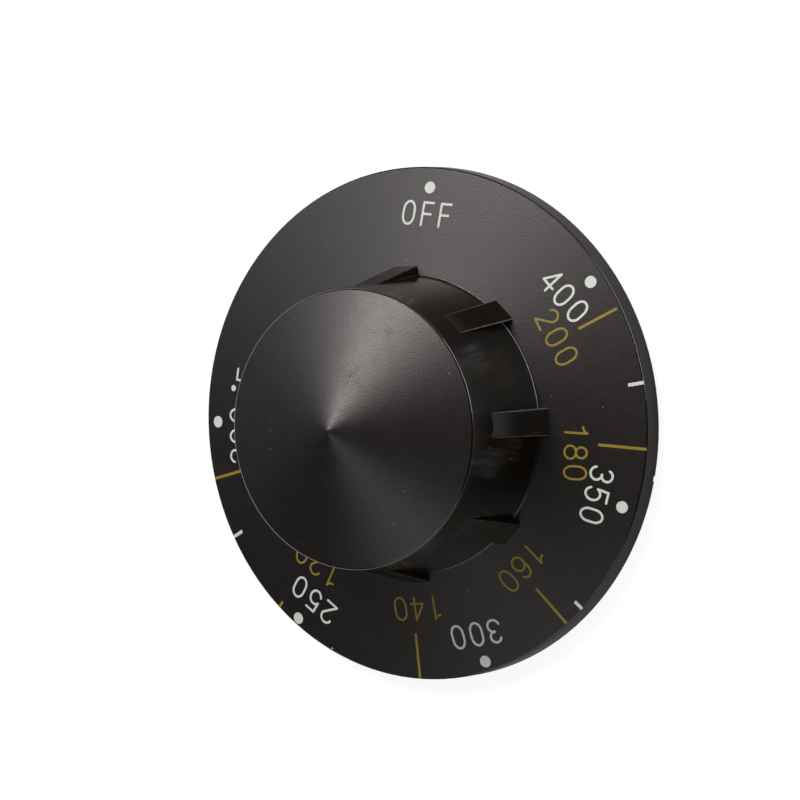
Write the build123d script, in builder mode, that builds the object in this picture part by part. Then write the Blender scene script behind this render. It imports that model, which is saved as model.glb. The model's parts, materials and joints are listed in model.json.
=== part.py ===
# Push-on dial knob of a deep fryer's temperature control.
# Millimetres. +Z runs from the panel side to the conical top, +Y points to the OFF mark,
# and the origin is the middle of the back rim, on which the knob rests.
# Turns given as clock angles run clockwise from the OFF mark, seen from the front.

import os
from math import hypot

from build123d import *

# Dial skirt
skirt_diameter = 70.0
rim_depth = 3.3
skirt_rise = 2.97
skirt_wall = 2.0
rim_wall = 1.8
rim_edge_radius = 0.3
rim_back_chamfer = 0.2

# Hub with its conical top
hub_base_diameter = 40.3
hub_top_diameter = 37.6
hub_height = 15.15
hub_wall = 2.4
brow_radius = 0.4
root_radius = 0.35
cone_rise = 6.1
cone_tip_radius = 1.2
crown_wall = 2.6

# Grip ribs
rib_count = 8
rib_clock_angle = -5.4
rib_height = 10.55
rib_reach = 1.3
rib_root_width = 3.8
rib_tip_width = 3.4
rib_edge_radius = 0.25

# Socket for the control's D-shaped stem
stem_diameter = 6.35
stem_across_flat = 4.76
stem_clearance = 0.06
socket_depth = 13.0

# Boss and webs behind the hub
boss_diameter = 13.4
boss_recess = 0.8
boss_lead_in = 0.4
slit_width = 1.2
slit_depth = 7.5
web_count = 4
web_wall = 1.6
web_recess = 9.0

# Spring ring round the boss
ring_thickness = 0.8
ring_width = 5.0
ring_gap = 2.4
ring_inset = 1.0
ring_play = 0.02

# Moulding mark in the rim's back edge
nick_clock_angle = 98.0
nick_width = 0.8
nick_depth = 0.25
nick_height = 0.7

# How close an edge must lie to a surface to count as lying in it
edge_tolerance = 0.005

# Worked out from the sizes above
skirt_radius = skirt_diameter / 2
rim_inner_radius = skirt_radius - rim_wall
hub_base_radius = hub_base_diameter / 2
hub_top_radius = hub_top_diameter / 2
hub_base_z = rim_depth + skirt_rise
brow_z = hub_base_z + hub_height
skirt_slope = skirt_rise / (skirt_radius - hub_base_radius)
skirt_drop = skirt_wall * hypot(1, skirt_slope)
hub_taper = (hub_base_radius - hub_top_radius) / hub_height
cone_slope = cone_rise / hub_top_radius
cone_length = hypot(1, cone_slope)
crown_drop = crown_wall * cone_length

rib_tip_z = hub_base_z + rib_height
rib_foot_z = hub_base_z - skirt_wall / 2
rib_head_z = rib_tip_z + hub_wall

boss_radius = boss_diameter / 2
ring_inner_radius = boss_radius - ring_thickness
ring_seat_radius = ring_inner_radius - ring_play
ring_z = boss_recess + ring_inset
ring_shoulder_z = ring_z + ring_width
socket_radius = stem_diameter / 2 + stem_clearance
socket_flat_y = stem_across_flat - stem_diameter / 2 + stem_clearance
web_edge_z = boss_recess + web_recess


def hub_radius_at(z):
    """Outer radius of the tapered hub at a height."""
    return hub_base_radius - hub_taper * (z - hub_base_z)


def skirt_top_at(radius):
    """Height of the skirt's face at a radius."""
    return rim_depth + skirt_slope * (skirt_radius - radius)


def cone_top_at(radius):
    """Height of the conical top at a radius."""
    return brow_z + cone_slope * (hub_top_radius - radius)


def ceiling_at(radius):
    """Height of the hollow's ceiling, which runs parallel to the conical top."""
    return cone_top_at(radius) - crown_drop


def along_rib(z, root, tip):
    """Straight run from a value at the skirt to a value at the rib's tip."""
    return root + (tip - root) * (z - hub_base_z) / rib_height


def upright_plane(angle):
    """Plane through the axis, turned from +X towards +Y, with the radius as x and the height as y."""
    return Plane.XZ.rotated((0, 0, angle))


def at_socket_mouth(edge):
    """True for the edges of the D-shaped hole in the boss's end."""
    middle = edge @ 0.5
    in_end_face = abs(middle.Z - boss_recess) < edge_tolerance
    return in_end_face and hypot(middle.X, middle.Y) < socket_radius + edge_tolerance


rib_angle = 90 - rib_clock_angle
seam_angle = rib_angle + 180 / rib_count
web_angles = [45 + 360 / web_count * number for number in range(web_count)]
hollow_base_radius = hub_base_radius - hub_wall
hollow_top_z = ceiling_at(hub_top_radius - hub_wall)
hollow_top_radius = hub_radius_at(hollow_top_z) - hub_wall
tip_reach = cone_tip_radius * cone_slope / cone_length
tip_z = cone_top_at(0) - cone_tip_radius * (cone_length - 1)

# One grip rib, standing towards +X: its sides draw in and its face leans in to the hub's wall
with BuildPart() as grip_rib:
    rib_back = hub_radius_at(rib_head_z) - hub_wall / 2
    rib_front = hub_base_radius + rib_reach
    foot_half = along_rib(rib_foot_z, rib_root_width, rib_tip_width) / 2
    head_half = along_rib(rib_head_z, rib_root_width, rib_tip_width) / 2
    with BuildSketch(Plane.YZ.offset(rib_back)):
        with BuildLine():
            Polyline(
                (-foot_half, rib_foot_z),
                (foot_half, rib_foot_z),
                (head_half, rib_head_z),
                (-head_half, rib_head_z),
                close=True,
            )
        make_face()
    extrude(amount=2 * (rib_front - rib_back))
    rib_lean = rib_front - hub_radius_at(rib_tip_z)
    rib_face = Plane(origin=(rib_front, 0, hub_base_z), z_dir=(rib_height, 0, rib_lean))
    split(bisect_by=rib_face, keep=Keep.BOTTOM)
    long_edges = grip_rib.faces().sort_by(Axis.X)[-1].edges().filter_by(Axis.Y, reverse=True)
    fillet(long_edges, rib_edge_radius)

# The moulding: skirt, hub, ribs, hollow back, boss and webs
with BuildPart() as knob_body:
    with BuildSketch(upright_plane(seam_angle)) as half_section:
        with BuildLine():
            Polyline(
                (0, tip_z),
                (0, boss_recess),
                (ring_seat_radius, boss_recess),
                (ring_seat_radius, ring_shoulder_z),
                (boss_radius, ring_shoulder_z),
                (boss_radius, ceiling_at(boss_radius)),
                (hollow_top_radius, hollow_top_z),
                (hollow_base_radius, skirt_top_at(hollow_base_radius) - skirt_drop),
                (rim_inner_radius, skirt_top_at(rim_inner_radius) - skirt_drop),
                (rim_inner_radius, 0),
                (skirt_radius, 0),
                (skirt_radius, rim_depth),
                (hub_base_radius, hub_base_z),
                (hub_top_radius, brow_z),
                (tip_reach, cone_top_at(tip_reach)),
            )
            TangentArc((0, tip_z), (tip_reach, cone_top_at(tip_reach)), tangent=(1, 0))
        make_face()
        rounded = (
            ((skirt_radius, rim_depth), rim_edge_radius),
            ((hub_base_radius, hub_base_z), root_radius),
            ((hub_top_radius, brow_z), brow_radius),
        )
        for corner, radius in rounded:
            fillet(half_section.vertices().sort_by_distance(corner)[0], radius)
        bevelled = (
            ((skirt_radius, 0), rim_back_chamfer),
            ((ring_seat_radius, boss_recess), boss_lead_in),
        )
        for corner, length in bevelled:
            chamfer(half_section.vertices().sort_by_distance(corner)[0], length)
    revolve(axis=Axis.Z)

    with PolarLocations(0, rib_count, start_angle=rib_angle):
        add(grip_rib.part)

    # Webs brace the boss against the hub's wall and ceiling
    with BuildSketch(*[upright_plane(angle) for angle in web_angles]):
        with BuildLine():
            Polyline(
                (boss_radius - web_wall, web_edge_z),
                (hub_radius_at(web_edge_z) - hub_wall / 2, web_edge_z),
                (hollow_top_radius, hollow_top_z + crown_wall / 2),
                (boss_radius - web_wall, ceiling_at(boss_radius - web_wall) + crown_wall / 2),
                close=True,
            )
        make_face()
    extrude(amount=web_wall / 2, both=True)

    # D-shaped stem socket, its flat towards the OFF mark
    with BuildSketch(Plane.XY.offset(boss_recess)):
        Circle(socket_radius)
        with Locations((0, socket_flat_y)):
            Rectangle(
                2 * socket_radius,
                socket_radius,
                align=(Align.CENTER, Align.MIN),
                mode=Mode.SUBTRACT,
            )
    extrude(amount=socket_depth, mode=Mode.SUBTRACT)
    chamfer(knob_body.edges().filter_by(at_socket_mouth), boss_lead_in)

    # The boss's end is slit so that the spring ring can draw it tight on the stem
    with BuildSketch(Plane.XY.offset(boss_recess)):
        Rectangle(boss_diameter, slit_width)
    extrude(amount=slit_depth, mode=Mode.SUBTRACT)

    with PolarLocations(skirt_radius, 1, start_angle=90 - nick_clock_angle):
        Box(2 * nick_depth, nick_width, 2 * nick_height, mode=Mode.SUBTRACT)

# The spring ring, open on the side away from the stem's flat
with BuildPart() as boss_spring:
    with BuildSketch(Plane.XY.offset(ring_z)):
        Circle(ring_inner_radius + ring_thickness)
        Circle(ring_inner_radius, mode=Mode.SUBTRACT)
        Rectangle(
            ring_gap,
            boss_diameter,
            align=(Align.CENTER, Align.MAX),
            mode=Mode.SUBTRACT,
        )
    extrude(amount=ring_width)

knob_body.part.label = "knob_body"
boss_spring.part.label = "boss_spring"

os.makedirs("parts", exist_ok=True)
export_step(knob_body.part, "parts/knob_body.step")
export_step(boss_spring.part, "parts/boss_spring.step")
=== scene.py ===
# %% [markdown]
# # A fryer's dial knob
# The knob is one black moulding with a printed temperature scale and, behind, a steel spring ring.
# The CAD solids give the shape, so this lesson adds what a drawing leaves out: the view, the light,
# the finishes, the ink, the marks of handling and a painted highlight on the ribs' edges. All
# lengths are in metres unless a name says mm.

import json
from math import atan2, cos, hypot, pi, radians, sin, sqrt

import bpy
import numpy as np
from mathutils import Matrix, Vector
from mathutils.geometry import delaunay_2d_cdt

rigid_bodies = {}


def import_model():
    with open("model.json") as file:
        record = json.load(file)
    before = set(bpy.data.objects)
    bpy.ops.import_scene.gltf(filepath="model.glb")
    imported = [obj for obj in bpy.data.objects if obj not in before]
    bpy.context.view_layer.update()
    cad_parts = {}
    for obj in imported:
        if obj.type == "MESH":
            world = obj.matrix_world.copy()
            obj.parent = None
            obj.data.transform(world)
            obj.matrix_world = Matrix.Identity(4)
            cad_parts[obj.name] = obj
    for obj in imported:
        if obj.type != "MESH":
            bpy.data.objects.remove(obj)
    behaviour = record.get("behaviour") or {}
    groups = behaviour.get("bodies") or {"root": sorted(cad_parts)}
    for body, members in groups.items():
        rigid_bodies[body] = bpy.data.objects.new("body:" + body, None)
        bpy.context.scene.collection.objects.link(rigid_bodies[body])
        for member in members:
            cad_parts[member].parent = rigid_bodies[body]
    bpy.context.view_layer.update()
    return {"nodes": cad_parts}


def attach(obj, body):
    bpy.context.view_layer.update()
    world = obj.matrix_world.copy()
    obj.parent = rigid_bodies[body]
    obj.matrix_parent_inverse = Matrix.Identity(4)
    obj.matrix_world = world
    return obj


for leftover in list(bpy.data.objects):
    bpy.data.objects.remove(leftover)
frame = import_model()
MM = 0.001
knob_body = frame["nodes"]["knob_body"]
boss_spring = frame["nodes"]["boss_spring"]
print("nodes", {name: len(node.data.polygons) for name, node in frame["nodes"].items()})

# %% [markdown]
# ## The viewpoint
# A product shot of a small part is taken from well back with a long lens, so that circles stay
# near to true ellipses. The camera could be aimed with a Track To constraint, but the roll matters
# here: OFF stands upright in the picture. So its three axes are written down as a matrix.

# %% Camera
LENS_MM = 216.62
SENSOR_MM = 36.0
camera_place = Vector((335.94, 49.93, 565.3)) * MM
camera_right = Vector((0.853446, 0.043868, -0.519312))
camera_up = Vector((-0.074512, 0.996485, -0.038273))
camera_back = camera_right.cross(camera_up)

camera_data = bpy.data.cameras.new("dial_camera")
camera_data.lens = LENS_MM
camera_data.sensor_width = SENSOR_MM
camera = bpy.data.objects.new("dial_camera", camera_data)
turn = Matrix((camera_right, camera_up, camera_back)).transposed().to_4x4()
camera.matrix_world = Matrix.Translation(camera_place) @ turn
bpy.context.scene.collection.objects.link(camera)
bpy.context.scene.camera = camera
print("camera stands", round(camera_place.length, 3), "m away")

# %% [markdown]
# ## Helpers for node trees
# Every finish below is a tree of shader nodes. They could be added and linked one line at a time,
# but a few helpers keep the lesson short: each one adds a node, feeds its inputs with a link or a
# plain value, and hands back the socket that the next step needs.

# %% Add and feed nodes
def add_node(tree, kind, place=(0, 0), **settings):
    """Adds a shader node, sets its properties and, by socket name, its input values."""
    made = tree.nodes.new(kind)
    made.location = place
    for key, value in settings.items():
        if hasattr(made, key):
            setattr(made, key, value)
        else:
            made.inputs[key.replace("_", " ")].default_value = value
    return made


def feed(tree, socket, source):
    """Links an input to another node's output, or writes a plain value on it."""
    if isinstance(source, bpy.types.NodeSocket):
        tree.links.new(source, socket)
    else:
        socket.default_value = source


def new_material(name):
    """A material with an empty node tree and an output."""
    material = bpy.data.materials.new(name)
    material.use_nodes = True
    material.node_tree.nodes.clear()
    output = add_node(material.node_tree, "ShaderNodeOutputMaterial", (900, 0))
    return material, material.node_tree, output


print("helpers", add_node.__name__, feed.__name__, new_material.__name__)

# %% [markdown]
# Three kinds of node come up again and again: arithmetic on two values, a ramp from one value to
# another, and a mix of two numbers or colours. A Mix node keeps sockets for every kind of data, so
# its inputs are picked by number.

# %% Sums, ramps and mixes
MIX_SOCKETS = {"FLOAT": (2, 3, 0), "RGBA": (6, 7, 2)}


def add_math(tree, operation, first, second=0.0, place=(0, 0)):
    """Adds a Math node on two sockets or numbers and returns its result."""
    made = add_node(tree, "ShaderNodeMath", place, operation=operation)
    feed(tree, made.inputs[0], first)
    feed(tree, made.inputs[1], second)
    return made.outputs[0]


def add_ramp(tree, value, start, end, low=0.0, high=1.0, place=(0, 0)):
    """Adds a Map Range node, low at the value start and high at end, and returns its result."""
    made = add_node(tree, "ShaderNodeMapRange", place)
    limits = {"Value": value, "From Min": start, "From Max": end, "To Min": low, "To Max": high}
    for label, source in limits.items():
        feed(tree, made.inputs[label], source)
    return made.outputs[0]


def add_mix(tree, kind, share, first, second, place=(0, 0)):
    """Adds a Mix node between two numbers or two colours and returns its result."""
    made = add_node(tree, "ShaderNodeMix", place, data_type=kind)
    first_at, second_at, result_at = MIX_SOCKETS[kind]
    for at, source in ((0, share), (first_at, first), (second_at, second)):
        feed(tree, made.inputs[at], source)
    return made.outputs[result_at]


print("mixes of", ", ".join(MIX_SOCKETS))

# %% [markdown]
# ## The table
# The knob lies on a white table. A lamp bright enough to burn the table out to white would wash out
# the print too, so the table glows a little by itself for the camera, and its paint still takes the
# knob's soft shadow. In the mirror of the black plastic the table counts for less near the knob
# and to its right, so that the hub's sides stay dark, and fully on the left.

# %% Table top
FLOOR_HALF = 3.0
FLOOR_DROP = 0.02 * MM
TABLE_PAINT = (0.26, 0.26, 0.26, 1)
TABLE_GLOW = 0.88
MIRRORED_SHARE = 0.15
SHARE_GROWS_FROM = -10.0 * MM
SHARE_FULL_AT = -38.0 * MM
floor_mesh = bpy.data.meshes.new("table_top")
floor_corners = [(-1, -1), (1, -1), (1, 1), (-1, 1)]
floor_mesh.from_pydata(
    [(x * FLOOR_HALF, y * FLOOR_HALF, -FLOOR_DROP) for x, y in floor_corners], [], [(0, 1, 2, 3)]
)
floor = bpy.data.objects.new("table_top", floor_mesh)
bpy.context.scene.collection.objects.link(floor)
print("table", 2 * FLOOR_HALF, "m wide")

# %% [markdown]
# The table's white is a plain diffuse paint with an emission added to it. The Light Path node tells
# which rays the emission is for: the camera's, those through glass, and a share of the mirrored
# ones.

# %% Table white
material, tree, output = new_material("table_white")
paint = add_node(tree, "ShaderNodeBsdfDiffuse", (0, 100), Color=TABLE_PAINT)
glow = add_node(tree, "ShaderNodeEmission", (0, -100), Color=(1, 1, 1, 1))
both = add_node(tree, "ShaderNodeAddShader", (300, 0))
path = add_node(tree, "ShaderNodeLightPath", (-800, -100))
place = add_node(tree, "ShaderNodeTexCoord", (-1200, -400))
axis = add_node(tree, "ShaderNodeSeparateXYZ", (-1000, -400))
tree.links.new(place.outputs["Object"], axis.inputs[0])
share = add_ramp(
    tree, axis.outputs["X"], SHARE_GROWS_FROM, SHARE_FULL_AT, MIRRORED_SHARE, 1.0, (-800, -400)
)
mirrored = add_math(tree, "MULTIPLY", path.outputs["Is Glossy Ray"], share, (-600, -250))
seen = add_math(tree, "MAXIMUM", path.outputs["Is Camera Ray"], mirrored, (-450, -100))
seen_through = add_math(tree, "MAXIMUM", seen, path.outputs["Is Transmission Ray"], (-300, -100))
glow_level = add_math(tree, "MULTIPLY", seen_through, TABLE_GLOW, (-150, -250))
tree.links.new(glow_level, glow.inputs["Strength"])
tree.links.new(paint.outputs[0], both.inputs[0])
tree.links.new(glow.outputs[0], both.inputs[1])
tree.links.new(both.outputs[0], output.inputs["Surface"])
floor_mesh.materials.append(material)
print("table nodes", len(tree.nodes))

# %% [markdown]
# ## The room
# Past the table the camera sees plain white. Everything else, the black plastic above all, sees a
# dim warm room, because a bright one would turn the black to grey. A Mix Shader on Is Camera Ray
# keeps the two apart.

# %% Surroundings
BACKDROP_WHITE = (1, 1, 1, 1)
ROOM_WARM = (1, 0.90, 0.78, 1)
ROOM_LEVEL = 0.022
world = bpy.data.worlds.new("studio")
bpy.context.scene.world = world
world.use_nodes = True
tree = world.node_tree
tree.nodes.clear()
output = add_node(tree, "ShaderNodeOutputWorld", (600, 0))
path = add_node(tree, "ShaderNodeLightPath", (-200, 200))
backdrop = add_node(tree, "ShaderNodeBackground", (0, 100), Color=BACKDROP_WHITE, Strength=1.0)
dim_room = add_node(tree, "ShaderNodeBackground", (0, -100), Color=ROOM_WARM, Strength=ROOM_LEVEL)
choose = add_node(tree, "ShaderNodeMixShader", (300, 0))
tree.links.new(path.outputs["Is Camera Ray"], choose.inputs[0])
tree.links.new(dim_room.outputs[0], choose.inputs[1])
tree.links.new(backdrop.outputs[0], choose.inputs[2])
tree.links.new(choose.outputs[0], output.inputs["Surface"])
view_settings = bpy.context.scene.view_settings
view_settings.view_transform = "Standard"
print("room level", ROOM_LEVEL)

# %% [markdown]
# ## Soft boxes
# Black plastic shows almost nothing but reflections, so each lamp is placed by where its reflection
# falls. They are area lamps, as a photographer's soft boxes are, all at one distance: a lamp is
# given by its direction from the knob, its size and its power.

# %% Make a soft box
LAMP_DISTANCE = 0.9
WARM = (1.0, 0.95, 0.91)
ROSY = (1.0, 0.89, 0.845)
PALE = (1.0, 0.98, 0.96)
COOL = (0.94, 0.915, 1.0)


def soft_box(name, direction, width, height, watts, colour):
    """A rectangular lamp that stands in a direction from the knob and faces it."""
    lamp = bpy.data.lights.new(name, "AREA")
    lamp.shape = "RECTANGLE"
    lamp.size = width
    lamp.size_y = height
    lamp.energy = watts
    lamp.color = colour
    holder = bpy.data.objects.new(name, lamp)
    away = Vector(direction).normalized()
    holder.location = away * LAMP_DISTANCE
    holder.rotation_euler = away.to_track_quat("Z", "Y").to_euler()
    bpy.context.scene.collection.objects.link(holder)
    print(name, "radiance", round(watts / (pi * width * height), 2))


print("lamps stand", LAMP_DISTANCE, "m away")

# %% [markdown]
# The upper box is the main lamp: it makes the bright wedge on the cone and the sheen on the dial
# below OFF. The panel and the scrim beside it soften the wedge's borders, and the cool panel on the
# left keeps the cone's left side from going quite black.

# %% Lamps above
soft_box("upper_box", (-0.30, 0.60, 0.74), 0.24, 0.18, 4.6, ROSY)
soft_box("top_panel", (-0.10, 0.46, 0.88), 0.20, 0.20, 0.66, PALE)
soft_box("wide_scrim", (-0.30, 0.47, 0.83), 0.60, 0.40, 0.36, COOL)
soft_box("left_panel", (-0.63, 0.28, 0.72), 0.42, 0.34, 0.86, COOL)
soft_box("back_panel", (0.06, 0.84, 0.53), 0.40, 0.24, 0.5, WARM)

# %% [markdown]
# From below, a weak box and a weaker panel give the cone its second, fainter wedge, and a wide fill
# lights the print that the hub shades. Two low strips draw thin lines: one along the rim at the
# right, one along the brow at the left.

# %% Lamps below and low strips
soft_box("lower_box", (-0.08, -0.58, 0.80), 0.34, 0.26, 0.60, WARM)
soft_box("front_panel", (-0.50, -0.30, 0.81), 0.36, 0.24, 0.12, WARM)
soft_box("side_fill", (0.25, -0.87, 0.42), 1.00, 0.60, 2.1, PALE)
soft_box("edge_strip", (0.79, 0.595, 0.157), 0.85, 0.18, 5.1, PALE)
soft_box("low_strip", (-0.98, 0.18, 0.09), 1.20, 0.06, 0.35, WARM)

# %% [markdown]
# ## Effects that several finishes share
# A moulded or printed surface is never quite even. Two node groups hold that unevenness: soft
# mottling, and stray specks of dust. They put out plain values, and each finish below decides what
# to do with them, so one change here reaches every material.

# %% Make and place groups
def new_group(name, inputs, output):
    """A node group with a Vector input, number inputs as (name, value) and one number output."""
    group = bpy.data.node_groups.new(name, "ShaderNodeTree")
    group.interface.new_socket("Vector", in_out="INPUT", socket_type="NodeSocketVector")
    for label, value in inputs:
        socket = group.interface.new_socket(label, in_out="INPUT", socket_type="NodeSocketFloat")
        socket.default_value = value
    group.interface.new_socket(output, in_out="OUTPUT", socket_type="NodeSocketFloat")
    inside = add_node(group, "NodeGroupInput", (-600, 0))
    outside = add_node(group, "NodeGroupOutput", (600, 0))
    return group, inside.outputs, outside.inputs[0]


def use_group(tree, group, vector, place, **values):
    """Places a node group, sets its inputs by name and returns its result."""
    made = add_node(tree, "ShaderNodeGroup", place)
    made.node_tree = group
    tree.links.new(vector, made.inputs["Vector"])
    for key, value in values.items():
        made.inputs[key].default_value = value
    return made.outputs[0]


print("helpers", new_group.__name__, use_group.__name__)

# %% [markdown]
# Mottling is a noise texture, stretched so that it reaches from a low to a high value.

# %% Mottle group
NOISE_LOW = 0.3
NOISE_HIGH = 0.7
mottle_group, given, result = new_group(
    "mottle", [("Scale", 200.0), ("Low", 0.0), ("High", 1.0)], "Value"
)
noise = add_node(mottle_group, "ShaderNodeTexNoise", (-300, 0), Detail=4.0, Roughness=0.6)
mottle_group.links.new(given["Vector"], noise.inputs["Vector"])
mottle_group.links.new(given["Scale"], noise.inputs["Scale"])
spread = add_ramp(
    mottle_group, noise.outputs[0], NOISE_LOW, NOISE_HIGH, given["Low"], given["High"], (200, 0)
)
mottle_group.links.new(spread, result)
print("mottle nodes", len(mottle_group.nodes))

# %% [markdown]
# A speck of dust is the middle of a Voronoi cell. Each cell has a random colour, and only those
# whose red is below a share get a speck, so the specks lie about without order.

# %% Dust group
dust_group, given, result = new_group(
    "dust", [("Scale", 900.0), ("Size", 0.06), ("Share", 0.02)], "Mask"
)
cells = add_node(dust_group, "ShaderNodeTexVoronoi", (-300, 100), feature="F1")
split = add_node(dust_group, "ShaderNodeSeparateColor", (-100, -100))
dust_group.links.new(given["Vector"], cells.inputs["Vector"])
dust_group.links.new(given["Scale"], cells.inputs["Scale"])
dust_group.links.new(cells.outputs["Color"], split.inputs[0])
near = add_math(dust_group, "LESS_THAN", cells.outputs["Distance"], given["Size"], (0, 150))
rare = add_math(dust_group, "LESS_THAN", split.outputs[0], given["Share"], (100, -100))
speck = add_math(dust_group, "MULTIPLY", near, rare, (300, 0))
dust_group.links.new(speck, result)
print("dust nodes", len(dust_group.nodes))

# %% [markdown]
# ## The black moulding
# The mould was polished for the hub, ribs and rim, and blasted fine for the dial and the cone, so
# one black plastic shows two finishes. They could be two material slots on the mesh, but the change
# follows the form: only the dial and the cone face forwards. So the surface's own normal picks.

# %% Moulding finishes
MOULDING_IOR = 1.62
SATIN_ROUGHNESS = 0.385
GLOSS_ROUGHNESS = 0.18
GLOSS_FACING_BELOW = 0.90
SATIN_FACING_ABOVE = 0.945
moulding, tree, output = new_material("black_moulding_look")
skin = add_node(tree, "ShaderNodeBsdfPrincipled", (600, 0), IOR=MOULDING_IOR)
where = add_node(tree, "ShaderNodeTexCoord", (-1800, 0))
spot = where.outputs["Object"]
facing = add_node(tree, "ShaderNodeSeparateXYZ", (-1600, 300))
tree.links.new(where.outputs["Normal"], facing.inputs[0])
satin = add_ramp(
    tree, facing.outputs["Z"], GLOSS_FACING_BELOW, SATIN_FACING_ABOVE, place=(-1000, 200)
)

gloss_level = use_group(
    tree, mottle_group, spot, (-900, -100),
    Scale=120.0, Low=GLOSS_ROUGHNESS - 0.03, High=GLOSS_ROUGHNESS + 0.05,
)
satin_level = use_group(
    tree, mottle_group, spot, (-900, -350),
    Scale=700.0, Low=SATIN_ROUGHNESS - 0.02, High=SATIN_ROUGHNESS + 0.02,
)
level = add_mix(tree, "FLOAT", satin, gloss_level, satin_level, (-500, -100))
print("roughness", GLOSS_ROUGHNESS, "glossy,", SATIN_ROUGHNESS, "satin")

# %% [markdown]
# Something has scuffed the cone in two places. A scuff is rougher than the skin around it, so it is
# dark where the skin shines. It could be painted by hand, but here each one is a spot about a
# point, broken up by fine noise.

# %% Scuffs
SCUFFS = [((1.6, 7.4, 25.0), 2.4), ((5.9, 13.5, 22.7), 1.0)]  # centre and reach in mm
SCUFF_ROUGHNESS = 0.56


def add_nearness(tree, vector, centre_mm, far_mm, near_mm, least=0.0, place=(0, 0)):
    """A mask about a point of the knob: least beyond the far distance, 1 within the near one."""
    apart = add_node(tree, "ShaderNodeVectorMath", place, operation="DISTANCE")
    apart.inputs[1].default_value = [value * MM for value in centre_mm]
    tree.links.new(vector, apart.inputs[0])
    beside = (place[0] + 200, place[1])
    return add_ramp(tree, apart.outputs["Value"], far_mm * MM, near_mm * MM, least, 1.0, beside)


scratches = use_group(tree, mottle_group, spot, (-900, -1300), Scale=3500.0, Low=-1.1, High=1.7)
scuffed = 0.0
for row, (centre, reach) in enumerate(SCUFFS):
    height = -1500 - 200 * row
    inside_spot = add_nearness(tree, spot, centre, reach, 0.0, place=(-900, height))
    scuffed = add_math(tree, "MAXIMUM", inside_spot, scuffed, (-500, height))
scuff = add_math(tree, "MULTIPLY", scuffed, scratches, (-300, -1400))
rough = add_mix(tree, "FLOAT", scuff, level, SCUFF_ROUGHNESS, (300, -100))
tree.links.new(rough, skin.inputs["Roughness"])
print("scuffs", len(SCUFFS))

# %% [markdown]
# The edges of the ribs get a painted highlight: their colour is made a little paler. They could be
# found with the Pointiness output, but it depends on the mesh. So they are found by direction: on a
# rib's edge the normal has turned part of the way from the rib's own direction to its side.

# %% Edges of the ribs
RIB_CLOCK = radians(-5.4)
RIB_STEP = radians(45)
HUB_RADIUS = 18.9 * MM
EDGE_TURN = 0.66
EDGE_TURN_WITHIN = 0.22
UPRIGHT_FACING_BELOW = 0.40
axes = add_node(tree, "ShaderNodeSeparateXYZ", (-1600, 700))
tree.links.new(spot, axes.inputs[0])
clock = add_math(tree, "ARCTAN2", axes.outputs["X"], axes.outputs["Y"], (-1400, 800))
past = add_math(tree, "ADD", clock, RIB_STEP / 2 - RIB_CLOCK, (-1200, 800))
nearest = add_math(tree, "SNAP", past, RIB_STEP, (-1000, 800))
rib_clock = add_math(tree, "ADD", nearest, RIB_CLOCK, (-800, 800))
rib_x = add_math(tree, "SINE", rib_clock, 0.0, (-600, 900))
rib_y = add_math(tree, "COSINE", rib_clock, 0.0, (-600, 700))
along_x = add_math(tree, "MULTIPLY", facing.outputs["X"], rib_x, (-400, 900))
along_y = add_math(tree, "MULTIPLY", facing.outputs["Y"], rib_y, (-400, 700))
outward = add_math(tree, "ADD", along_x, along_y, (-200, 800))
turned = add_math(tree, "COMPARE", outward, EDGE_TURN, (0, 800))
turned.node.inputs[2].default_value = EDGE_TURN_WITHIN
upright = add_math(tree, "LESS_THAN", facing.outputs["Z"], UPRIGHT_FACING_BELOW, (0, 650))
x_squared = add_math(tree, "POWER", axes.outputs["X"], 2.0, (-600, 500))
y_squared = add_math(tree, "POWER", axes.outputs["Y"], 2.0, (-600, 350))
distance = add_math(tree, "SQRT", add_math(tree, "ADD", x_squared, y_squared, (-400, 450)))
outer = add_math(tree, "GREATER_THAN", distance, HUB_RADIUS, (0, 500))
rib_side = add_math(tree, "MULTIPLY", turned, upright, (150, 700))
edge = add_math(tree, "MULTIPLY", rib_side, outer, (300, 700))
print("ribs every", round(RIB_STEP * 180 / pi), "degrees")

# %% [markdown]
# The painted highlight is strongest about a point by the ribs at the right, the side where the
# light falls, and it fades away from there. Noise breaks it up.

# %% Painted highlight on the lit side
# painted highlight: the rib edges are paler most about this point on the lit right side
HIGHLIGHT_CENTRE = (19.0, 9.0, 10.0)
HIGHLIGHT_FAR_MM = 22.0
HIGHLIGHT_NEAR_MM = 10.0
LEAST_HIGHLIGHT = 0.15
highlight_reach = add_nearness(tree, spot, HIGHLIGHT_CENTRE, HIGHLIGHT_FAR_MM, HIGHLIGHT_NEAR_MM, LEAST_HIGHLIGHT, (0, 350))
highlight_breakup = use_group(tree, mottle_group, spot, (-900, 500), Scale=900.0, Low=0.25, High=1.0)
lit_edge = add_math(tree, "MULTIPLY", edge, highlight_reach, (450, 700))
edge_highlight = add_math(tree, "MULTIPLY", lit_edge, highlight_breakup, (600, 700))
print("wear is strongest at", HIGHLIGHT_CENTRE, "mm")

# %% [markdown]
# The colour is a warm near-black, with a painted highlight on the rib edges and specks of dust laid
# over it.

# %% Colour of the moulding
MOULDING_BLACK = (0.0034, 0.0022, 0.0012, 1)
# the first grey is the colour of the painted highlight on the rib edges
EDGE_HIGHLIGHT_GREY = (0.14, 0.133, 0.127, 1)
DUST_GREY = (0.16, 0.155, 0.15, 1)
dust = use_group(tree, dust_group, spot, (-900, -600), Scale=420.0, Size=0.042, Share=0.4)
# lays the painted highlight on the rib edges over the black
marked_tone = add_mix(tree, "RGBA", edge_highlight, MOULDING_BLACK, EDGE_HIGHLIGHT_GREY, (200, 300))
dusty = add_mix(tree, "RGBA", dust, marked_tone, DUST_GREY, (400, 300))
tree.links.new(dusty, skin.inputs["Base Color"])
print("colour", MOULDING_BLACK[:3])

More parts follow.
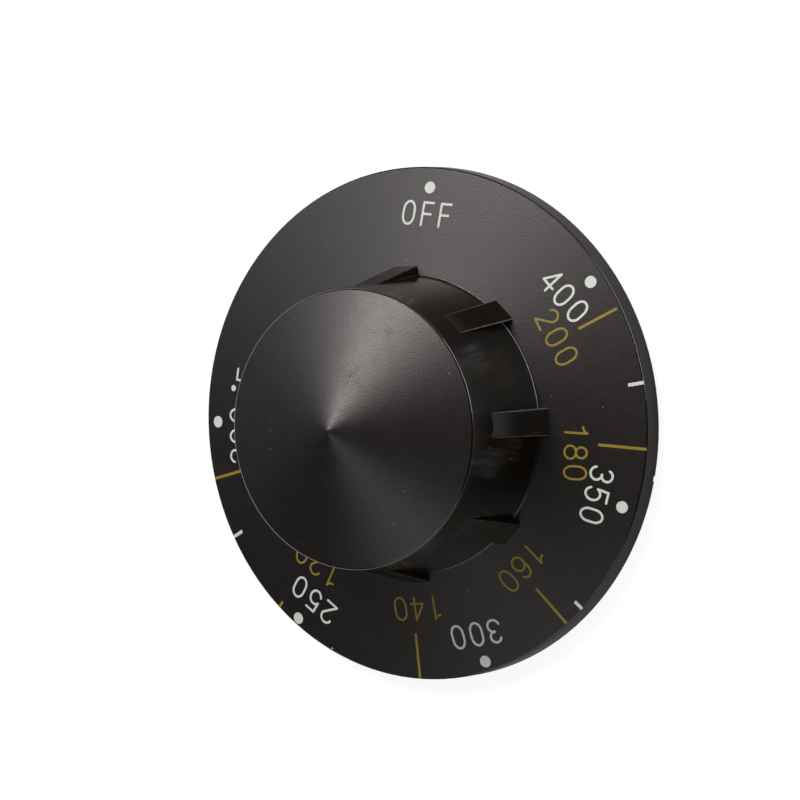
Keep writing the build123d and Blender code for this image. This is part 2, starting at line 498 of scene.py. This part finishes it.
# %% [markdown]
# The blasted faces have a very fine grain, and the polished sides keep faint streaks from polishing
# the mould. Both are far too small to model, so a Bump node turns a noise into relief. Squeezing
# the noise along the knob's axis draws it out into streaks.

# %% Relief of the moulding
GRAIN_SCALE = 4000.0
STREAK_SCALE = 1500.0
STREAK_SQUEEZE = (1, 1, 0.06)
STREAK_SHARE = 0.03
RELIEF_DEPTH = 0.026 * MM
grain = add_node(
    tree, "ShaderNodeTexNoise", (-900, -850), Scale=GRAIN_SCALE, Detail=3.0, Roughness=0.6
)
streak_space = add_node(tree, "ShaderNodeMapping", (-1150, -1050))
streak_space.inputs["Scale"].default_value = STREAK_SQUEEZE
streaks = add_node(
    tree, "ShaderNodeTexNoise", (-900, -1050), Scale=STREAK_SCALE, Detail=2.0, Roughness=0.5
)
tree.links.new(spot, grain.inputs["Vector"])
tree.links.new(spot, streak_space.inputs[0])
tree.links.new(streak_space.outputs[0], streaks.inputs["Vector"])
shallow = add_math(tree, "MULTIPLY", streaks.outputs[0], STREAK_SHARE, (-700, -1050))
relief = add_mix(tree, "FLOAT", satin, shallow, grain.outputs[0], (-500, -900))
bump = add_node(tree, "ShaderNodeBump", (200, -500), Strength=0.8, Distance=RELIEF_DEPTH)
tree.links.new(relief, bump.inputs["Height"])
tree.links.new(bump.outputs[0], skin.inputs["Normal"])
tree.links.new(skin.outputs[0], output.inputs["Surface"])
knob_body.data.materials.clear()
knob_body.data.materials.append(moulding)
print("moulding nodes", len(tree.nodes))

# %% [markdown]
# ## Steel of the spring ring
# The ring behind is cut from rolled strip and bent round, so its grain runs round the boss. The
# grain is a noise squeezed along the knob's axis: fine lines that go round the ring.

# %% Spring steel
ROLLED_SQUEEZE = (0.15, 0.15, 12.0)
STEEL_DARK = (0.40, 0.40, 0.415, 1)
STEEL_LIGHT = (0.55, 0.55, 0.565, 1)
material, tree, output = new_material("spring_steel_look")
steel = add_node(tree, "ShaderNodeBsdfPrincipled", (600, 0), Metallic=1.0)
where = add_node(tree, "ShaderNodeTexCoord", (-1200, 0))
rolled = add_node(tree, "ShaderNodeMapping", (-1000, 0))
rolled.inputs["Scale"].default_value = ROLLED_SQUEEZE
tree.links.new(where.outputs["Object"], rolled.inputs[0])
along_strip = rolled.outputs[0]
lines = use_group(tree, mottle_group, along_strip, (-700, 0), Scale=900.0, Low=0.24, High=0.42)
tone = use_group(tree, mottle_group, along_strip, (-700, 300), Scale=500.0, Low=0.0, High=1.0)
tint = add_mix(tree, "RGBA", tone, STEEL_DARK, STEEL_LIGHT, (-300, 300))
tree.links.new(lines, steel.inputs["Roughness"])
tree.links.new(tint, steel.inputs["Base Color"])
tree.links.new(steel.outputs[0], output.inputs["Surface"])
boss_spring.data.materials.clear()
boss_spring.data.materials.append(material)
print("steel nodes", len(tree.nodes))

# %% [markdown]
# ## True normals for a turned form
# The moulding comes as flat triangles, joined only within one face of the CAD model. Smoothing them
# by area would bend the light near every edge, so each face is recognised instead. A flat face has
# one normal. A face turned about the knob's axis has a straight line or an arc as its profile, and
# its normals follow from that. The points stay where they are.

# %% Recognise the faces
FACE_WITHIN = 1e-6


def face_numbers(corners, count):
    """The number of the CAD face that every triangle belongs to; two faces share no points."""
    label = np.arange(count)
    while True:
        before = label.copy()
        lowest = label[corners].min(axis=1)
        np.minimum.at(label, corners.ravel(), np.repeat(lowest, 3))
        label = label[label]
        if (label == before).all():
            return np.unique(label[corners[:, 0]], return_inverse=True)[1]


def profile_normals(profile):
    """Normals along a profile of (radius, height) points, or None if it is no line and no arc."""
    centred = profile - profile.mean(axis=0)
    _, spread, axes = np.linalg.svd(centred, full_matrices=False)
    if spread[1] < FACE_WITHIN * sqrt(len(profile)):
        return np.tile(axes[1], (len(profile), 1))
    equations = np.column_stack([2 * centred, np.ones(len(centred))])
    centre = np.linalg.lstsq(equations, (centred**2).sum(axis=1), rcond=None)[0][:2]
    arms = centred - centre
    reach = np.linalg.norm(arms, axis=1)
    return arms / reach[:, None] if np.ptp(reach) < FACE_WITHIN else None


def face_normals(points, corners, across):
    """Normals at the corners of one face's triangles, and whether its form was recognised."""
    used = np.unique(corners)
    mean = across.sum(axis=0)
    mean /= max(np.linalg.norm(mean), 1e-20)
    at_point = np.tile(mean, (len(points), 1))
    if np.ptp(points[used] @ mean) <= FACE_WITHIN:
        return at_point[corners], True
    x, y, z = points[used].T
    along = profile_normals(np.column_stack([np.hypot(x, y), z]))
    if along is None:
        at_point = np.zeros_like(points)
        np.add.at(at_point, corners.ravel(), np.repeat(across, 3, axis=0))
        at_point[used] /= np.linalg.norm(at_point[used], axis=1)[:, None]
        return at_point[corners], False
    out, up = along.T
    turn = np.arctan2(y, x)
    at_point[used] = np.column_stack([out * np.cos(turn), out * np.sin(turn), up])
    outwards = (at_point[corners].sum(axis=1) * across).sum() >= 0
    return at_point[corners] * (1 if outwards else -1), True


print("faces are recognised to", FACE_WITHIN / MM, "mm")

# %% [markdown]
# What is left are the roundings along the ribs. They take the mean of their triangles, and where
# they meet a recognised face at a gentle angle, they take that face's normal, so no seam shows.

# %% Set the normals
SOFT_BEND = cos(radians(24.0))
SAME_SPOT = 2e-7


def join_seams(points, corners, normals, known):
    """Lets the unrecognised faces meet the normals of recognised neighbours."""
    rounded = np.round(points / SAME_SPOT).astype(np.int64)
    spots = np.unique(rounded, axis=0, return_inverse=True)[1].reshape(-1)
    neighbours = {}
    for triangle in np.flatnonzero(known):
        for at, normal in zip(spots[corners[triangle]], normals[triangle]):
            neighbours.setdefault(at, []).append(normal)
    for triangle in np.flatnonzero(~known):
        for k, at in enumerate(spots[corners[triangle]]):
            mine = normals[triangle, k]
            alike = [normal for normal in neighbours.get(at, []) if normal @ mine > SOFT_BEND]
            normals[triangle, k] = alike[0] if alike else mine


def true_normals(piece):
    """Gives a mesh of flat, turned and rounded faces its exact shading normals."""
    mesh = piece.data
    points = np.empty(len(mesh.vertices) * 3)
    mesh.vertices.foreach_get("co", points)
    points = points.reshape(-1, 3)
    corners = np.empty(len(mesh.loops), int)
    mesh.loops.foreach_get("vertex_index", corners)
    corners = corners.reshape(-1, 3)
    first, second, third = (points[corners[:, k]] for k in range(3))
    across = np.cross(second - first, third - first)
    face_of = face_numbers(corners, len(points))
    normals = np.zeros((len(corners), 3, 3))
    known = np.zeros(len(corners), bool)
    for face in range(face_of.max() + 1):
        mine = np.flatnonzero(face_of == face)
        normals[mine], known[mine] = face_normals(points, corners[mine], across[mine])
    join_seams(points, corners, normals, known)
    mesh.shade_smooth()
    mesh.normals_split_custom_set(normals.reshape(-1, 3).tolist())
    return int(known.sum()), len(known), int(face_of.max() + 1)


print("triangles known, all, faces", true_normals(knob_body), true_normals(boss_spring))

# %% [markdown]
# ## The printed scale
# The scale is screen-printed: white for degrees Fahrenheit and gold for degrees Celsius. Its
# figures have one line width and round ends, as an engraver's pen draws them, so each is a few pen
# strokes here: straight runs and arcs. A text object would need a typeface, and none has these
# shapes.

# %% Pen strokes of each figure
ARC_STEP = 12


def arc(cx, cy, rx, ry, start, end):
    """Points along part of an ellipse, angles in degrees."""
    count = max(2, round(abs(end - start) / ARC_STEP))
    angles = [radians(start + (end - start) * k / count) for k in range(count + 1)]
    return [(cx + rx * cos(t), cy + ry * sin(t)) for t in angles]


def loop(cy, rx, ry):
    """A closed oval round the figure's middle line, in two strokes."""
    return [arc(0, cy, rx, ry, 0, 180), arc(0, cy, rx, ry, 180, 360)]


# Each figure stands on y = 0, is 1 high and is centred on x = 0.
zero = [arc(0, 0.63, 0.28, 0.37, 0, 180), arc(0, 0.37, 0.28, 0.37, 180, 360)]
zero += [[(-0.28, 0.37), (-0.28, 0.63)], [(0.28, 0.37), (0.28, 0.63)]]
FIGURES = {
    "0": zero,
    "O": zero,
    "1": [[(0, 0), (0, 1)], [(-0.27, 0.79), (-0.15, 0.82), (-0.06, 0.89), (0, 1)]],
    "2": [arc(0, 0.73, 0.27, 0.27, 170, -25) + [(-0.29, 0)], [(-0.29, 0), (0.29, 0)]],
    "3": [arc(0, 0.755, 0.25, 0.245, 165, -90), arc(0, 0.265, 0.285, 0.265, 90, -165)],
    "4": [[(0.13, 1), (-0.30, 0.285)], [(-0.30, 0.285), (0.32, 0.285)], [(0.13, 1), (0.13, 0)]],
    "5": [
        [(0.25, 1), (-0.21, 1)],
        [(-0.21, 1), (-0.24, 0.56)],
        arc(0, 0.33, 0.28, 0.33, 148, -155),
    ],
    "6": loop(0.31, 0.28, 0.31)
    + [[(-0.28, 0.31), (-0.28, 0.64)] + arc(0, 0.66, 0.28, 0.34, 180, 35)],
    "8": loop(0.755, 0.235, 0.245) + loop(0.26, 0.285, 0.26),
    "F": [[(-0.24, 0), (-0.24, 1)], [(-0.24, 1), (0.25, 1)], [(-0.24, 0.5), (0.17, 0.5)]],
}
ADVANCE_MM = {
    "0": 2.92, "O": 3.08, "1": 2.70, "2": 2.65, "3": 2.68,
    "4": 2.56, "5": 2.90, "6": 2.54, "8": 2.53, "F": 2.78,
}
print("figures", "".join(FIGURES))

# %% [markdown]
# A pen leaves a ribbon. A curve object with a bevel would make one too, but its ends and joints
# would overlap. So each stroke gets its own outline: both sides, offset by half a line, and
# a half circle round each end. Long runs get points in between, so that they can bend with the
# dial.

# %% Ribbons
CAP_TURNS = [radians(90 - 22.5 * k) for k in range(1, 8)]


def round_cap(tip, towards, half):
    """Points of the half circle round a stroke's tip."""
    turn = atan2(towards[1], towards[0])
    return [(tip[0] + half * cos(turn + t), tip[1] + half * sin(turn + t)) for t in CAP_TURNS]


def ribbon(points, width, round_ends=True):
    """The outline of a pen stroke along points, as one closed polygon."""
    half = width / 2
    steps = [(b[0] - a[0], b[1] - a[1]) for a, b in zip(points, points[1:])]
    steps = [(dx / hypot(dx, dy), dy / hypot(dx, dy)) for dx, dy in steps]
    sides = []
    for number, (x, y) in enumerate(points):
        before = steps[max(number - 1, 0)]
        after = steps[min(number, len(steps) - 1)]
        mean = (before[0] + after[0], before[1] + after[1])
        reach = half * 2 / (mean[0] ** 2 + mean[1] ** 2)
        sides.append((x, y, -mean[1] * reach, mean[0] * reach))
    left = [(x + nx, y + ny) for x, y, nx, ny in sides]
    right = [(x - nx, y - ny) for x, y, nx, ny in reversed(sides)]
    if not round_ends:
        return left + right
    far_cap = round_cap(points[-1], steps[-1], half)
    near_cap = round_cap(points[0], (-steps[0][0], -steps[0][1]), half)
    return left + far_cap + right + near_cap


def finely(points, step):
    """The same line with points no further apart than about a step."""
    out = [points[0]]
    for (ax, ay), (bx, by) in zip(points, points[1:]):
        count = max(1, round(hypot(bx - ax, by - ay) / step + 0.3))
        for k in range(1, count + 1):
            out.append((ax + (bx - ax) * k / count, ay + (by - ay) * k / count))
    return out


print("a straight stroke has", len(ribbon([(0, 0), (0, 1)], 0.1)), "outline points")

# %% [markdown]
# ## Ink on the dial
# Ink lies on the dial's cone and, at the ends of the long marks, just begins to turn down over
# the rounded rim. A Shrinkwrap modifier could press it on, but the dial's profile is known, so the
# height of every point is worked out from it.

# %% Points on the dial
DIAL_RADIUS_MM = 35.0
DIAL_EDGE_Z_MM = 3.3
DIAL_SLOPE = 0.2
RIM_ROUND_MM = 0.3
ROUND_REACH = 0.97
slant = hypot(1, DIAL_SLOPE)
round_centre_r = DIAL_RADIUS_MM - RIM_ROUND_MM
round_centre_z = DIAL_EDGE_Z_MM + DIAL_SLOPE * RIM_ROUND_MM - RIM_ROUND_MM * slant
round_start_r = round_centre_r + RIM_ROUND_MM * DIAL_SLOPE / slant


def on_dial(u, v, clock, radius, tilt):
    """A point drawn at (u, v) beside a spot on the dial, as x and y of the knob, in mm."""
    t = radians(tilt)
    along, out = u * cos(t) - v * sin(t), radius + u * sin(t) + v * cos(t)
    c = radians(clock)
    return along * cos(c) + out * sin(c), out * cos(c) - along * sin(c)


def dial_point(x, y, lift):
    """The point of the dial's face over (x, y), moved off it along its normal, in metres."""
    r = hypot(x, y)
    if r < round_start_r:
        z, lean = DIAL_EDGE_Z_MM + DIAL_SLOPE * (DIAL_RADIUS_MM - r), DIAL_SLOPE
    else:
        over = min(r - round_centre_r, ROUND_REACH * RIM_ROUND_MM)
        fall = sqrt(RIM_ROUND_MM**2 - over**2)
        z, lean = round_centre_z + fall, over / fall
    rise = lift / hypot(1, lean)
    return Vector((x + x / r * rise * lean, y + y / r * rise * lean, z + rise)) * MM


print("the rim begins to turn at", round(round_start_r, 3), "mm")

# %% [markdown]
# Strokes overlap where they join, and a film of ink doesn't. A flat triangulation with the outlines
# as its edges merges them: what lies in any outline is inked. The film then gets a top, an
# underside just below the dial's face, so that no gap shows, and walls between them.

# %% Films of ink
INK_TOP_MM = 0.016
INK_ROOT_MM = 0.012
JOIN_WITHIN_MM = 1e-5
INSIDE_OUTLINES = 1


def merge_flat(polygons):
    """Merges overlapping polygons, and returns the points in use and the faces that are inked."""
    flat_points, loops = [], []
    for polygon in polygons:
        ring = zip(polygon, polygon[1:] + polygon[:1])
        if sum(ax * by - bx * ay for (ax, ay), (bx, by) in ring) < 0:
            polygon = polygon[::-1]
        loops.append(list(range(len(flat_points), len(flat_points) + len(polygon))))
        flat_points += [Vector(p) for p in polygon]
    spots, _, faces, _, _, sources = delaunay_2d_cdt(
        flat_points, [], loops, INSIDE_OUTLINES, JOIN_WITHIN_MM, True
    )
    inked = [face for face, source in zip(faces, sources) if source]
    used = sorted({k for face in inked for k in face})
    number = {k: n for n, k in enumerate(used)}
    return [spots[k] for k in used], [[number[k] for k in face] for face in inked]


def ink_piece(name, polygons, material):
    """Joins flat polygons into one film of ink on the dial."""
    flat, upper = merge_flat(polygons)
    count = len(flat)
    top = [dial_point(*point, INK_TOP_MM) for point in flat]
    under = [dial_point(*point, -INK_ROOT_MM) for point in flat]
    edges = {(face[k], face[(k + 1) % len(face)]) for face in upper for k in range(len(face))}
    rims = [(a, b) for a, b in edges if (b, a) not in edges]
    walls = [(b, a, a + count, b + count) for a, b in sorted(rims)]
    lower = [[k + count for k in reversed(face)] for face in upper]
    mesh = bpy.data.meshes.new(name)
    mesh.from_pydata(top + under, [], upper + lower + walls)
    mesh.validate()
    mesh.materials.append(material)
    piece = bpy.data.objects.new(name, mesh)
    bpy.context.scene.collection.objects.link(piece)
    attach(piece, "root")
    print(name, len(mesh.polygons), "faces")
    return piece


print("ink stands", INK_TOP_MM, "mm proud")

# %% [markdown]
# ## Ink colours
# Screen ink dries matt and a little cloudy. Each colour is a clear tone mottled with a slightly
# darker one, with a few darker specks where the ink is thin. Both come from the shared groups, with
# finer values than on the moulding.

# %% Ink materials
INK_ROUGHNESS = 0.55
BARE_SPECK = 0.55


def ink_material(name, tone, thin_tone):
    """Matt ink that is slightly cloudy, with a few specks."""
    material, tree, output = new_material(name)
    ink = add_node(tree, "ShaderNodeBsdfPrincipled", (500, 0), Roughness=INK_ROUGHNESS)
    where = add_node(tree, "ShaderNodeTexCoord", (-900, 0))
    spot = where.outputs["Object"]
    cloud = use_group(tree, mottle_group, spot, (-600, 100), Scale=1700.0, Low=0.0, High=0.8)
    specks = use_group(tree, dust_group, spot, (-600, -150), Scale=2600.0, Size=0.16, Share=0.035)
    speck_tone = [value * BARE_SPECK for value in thin_tone]
    mixed = add_mix(tree, "RGBA", cloud, (*tone, 1), (*thin_tone, 1), (-200, 100))
    marked_tone = add_mix(tree, "RGBA", specks, mixed, (*speck_tone, 1), (100, 100))
    tree.links.new(marked_tone, ink.inputs["Base Color"])
    tree.links.new(ink.outputs[0], output.inputs["Surface"])
    return material


white_ink = ink_material("white_ink_look", (0.70, 0.775, 0.745), (0.60, 0.665, 0.64))
gold_ink = ink_material("gold_ink_look", (0.305, 0.222, 0.027), (0.24, 0.173, 0.021))
print("inks", white_ink.name, gold_ink.name)

# %% [markdown]
# ## Where the print sits
# Clock angles run from OFF, clockwise. The printing plate was a little off the knob's middle, so
# the dots and figures stand closer to the edge at the bottom than at the top; each spot is written
# down as it is. Behind the hub the row of figures simply goes on.

# %% Words and figures
FIGURE_HEIGHT_MM = 3.08
WHITE_LINE_MM = 0.32
GOLD_LINE_MM = 0.29
STROKE_STEP_MM = 0.5
WHITE_WORDS = [  # text, clock angle, radius in mm, tilt
    ("OFF", 0.05, 28.62, -1.4),
    ("400", 49.54, 29.03, 6.3),
    ("350", 104.64, 29.23, 1.7),
    ("300", 159.04, 29.77, -7.2),
    ("250", 211.22, 29.93, -2.4),
    ("200", 262.45, 29.13, -4.2),
    ("F", 279.1, 28.42, 3.3),
]
GOLD_WORDS = [
    ("200", 58.47, 25.34, 1.4),
    ("180", 94.41, 25.33, 4.7),
    ("160", 135.59, 25.26, 2.5),
    ("140", 176.0, 25.15, 2.4),
    ("120", 215.66, 25.25, 6.0),
    ("100", 254.2, 25.25, 4.0),
]


def word_ribbons(words, line):
    """Ribbons of every stroke of the words given as (text, clock angle, radius, tilt)."""
    out = []
    for text, clock, radius, tilt in words:
        start = -sum(ADVANCE_MM[letter] for letter in text) / 2
        for letter in text:
            middle = start + ADVANCE_MM[letter] / 2
            start += ADVANCE_MM[letter]
            for stroke in FIGURES[letter]:
                scaled = [
                    (middle + x * FIGURE_HEIGHT_MM, (y - 0.5) * FIGURE_HEIGHT_MM) for x, y in stroke
                ]
                outline = ribbon(finely(scaled, STROKE_STEP_MM), line)
                out.append([on_dial(u, v, clock, radius, tilt) for u, v in outline])
    return out


white_shapes = word_ribbons(WHITE_WORDS, WHITE_LINE_MM)
gold_shapes = word_ribbons(GOLD_WORDS, GOLD_LINE_MM)
print("strokes", len(white_shapes), "white,", len(gold_shapes), "gold")

# %% [markdown]
# A white dot stands over each white number, and radial marks stand between them and by the gold
# numbers. The degree sign is a smaller dot, and one tiny white fleck of ink strayed to the edge.
# Where a mark nears the rounded rim, its points lie closer together, so that it follows the round.

# %% Dots and marks
DOT_MM = 1.62
WHITE_DOTS = [  # clock angle, radius and width in mm
    (0.0, 32.22, DOT_MM),
    (50.58, 32.98, DOT_MM),
    (105.27, 33.01, DOT_MM),
    (159.31, 33.62, DOT_MM),
    (212.8, 33.92, DOT_MM),
    (266.05, 32.99, DOT_MM),
    (275.05, 30.31, 0.86),
    (201.6, 34.58, 0.22),
]
WHITE_MARKS = [(76.6, 32.8, 34.93), (131.0, 33.5, 34.85), (238.5, 33.0, 34.93)]
GOLD_MARKS = [  # clock angle, inner and outer radius in mm
    (59.1, 28.5, 34.4),
    (91.2, 28.3, 34.9),
    (136.2, 28.6, 34.7),
    (177.4, 28.6, 34.95),
    (218.5, 33.8, 34.93),
    (252.8, 28.5, 34.85),
]
WHITE_MARK_MM = 0.46
GOLD_MARK_MM = 0.38
FINE_FROM_MM = 34.4
LONG_STEP_MM = 1.0
FINE_STEP_MM = 0.11


def dot_outline(clock, radius, across):
    """A printed dot."""
    return [on_dial(x, y, clock, radius, 0) for x, y in arc(0, 0, across / 2, across / 2, 0, 345)]


def mark_outline(clock, inner, outer, line):
    """A printed radial mark with square ends."""
    path = finely([(0, inner), (0, min(outer, FINE_FROM_MM))], LONG_STEP_MM)
    if outer > FINE_FROM_MM:
        path = path[:-1] + finely([(0, FINE_FROM_MM), (0, outer)], FINE_STEP_MM)
    return [on_dial(u, v, clock, 0, 0) for u, v in ribbon(path, line, False)]


white_shapes += [dot_outline(*dot) for dot in WHITE_DOTS]
white_shapes += [mark_outline(*mark, WHITE_MARK_MM) for mark in WHITE_MARKS]
gold_shapes += [mark_outline(*mark, GOLD_MARK_MM) for mark in GOLD_MARKS]
ink_piece("white_print", white_shapes, white_ink)
ink_piece("gold_print", gold_shapes, gold_ink)

# %% [markdown]
# ## Finish
# The view layer is brought up to date at the end.

# %% Finish
bpy.context.view_layer.update()
